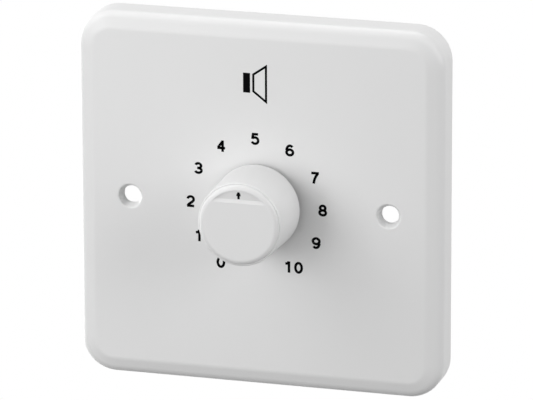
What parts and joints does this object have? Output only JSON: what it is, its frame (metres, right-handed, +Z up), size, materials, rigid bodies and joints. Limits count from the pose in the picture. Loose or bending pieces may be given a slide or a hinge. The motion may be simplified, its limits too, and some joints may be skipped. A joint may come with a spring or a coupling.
{
  "type": "speaker volume control",
  "caption": "Square white wall plate with a round turning knob over a numbered dial, and a rotary tap switch, transformer and wire terminals behind it, for setting a loudspeaker's level.",
  "frame": {"origin": "centre of the plate's rear rim, in the wall plane, on the knob's axis", "axes": "+Y into the wall along the knob's axis, +X to the right seen from the front, +Z up"},
  "size_m": [0.085, 0.0632, 0.085],
  "materials": {
    "white_plastic": "moulded, satin",
    "brass": "turned, bright",
    "steel": "stamped, bright",
    "zinc": "zinc plated",
    "black_plastic": "moulded, matt",
    "cream_plastic": "moulded, matt",
    "board": "solder resist",
    "lamination": "varnished",
    "copper_wire": "enamelled wire",
    "tape": "polyester film",
    "green_plastic": "moulded, matt"
  },
  "bodies": {
    "wall_unit": {"front_plate": "white_plastic", "bush_nut": "zinc", "bush_washer": "steel", "switch_bush": "zinc", "stop_ring": "steel", "switch_housing": "black_plastic", "contact_deck": "black_plastic", "tap_contacts": "brass", "common_contact": "brass", "deck_screws": "zinc", "circuit_board": "board", "board_screws": "zinc", "core_e": "lamination", "core_i": "lamination", "bobbin": "black_plastic", "winding": "copper_wire", "winding_tape": "tape", "core_clamp": "steel", "transformer_pins": "zinc", "terminal_housing": "green_plastic", "terminal_clamps": "brass", "terminal_screws": "zinc", "terminal_pins": "zinc"},
    "knob": {"knob_body": "white_plastic", "knob_cap": "white_plastic", "knob_collet": "brass", "collet_nut": "brass", "spindle": "steel", "spindle_clip": "steel", "rotor": "cream_plastic", "detent_springs": "steel", "detent_balls": "steel", "wiper": "brass"}
  },
  "joints": [
    {"name": "volume_turn", "type": "hinge", "parent": "wall_unit", "child": "knob", "pos_m": [0, 0, 0], "axis": [0, 1, 0], "range_deg": [-150, 150]}
  ]
}
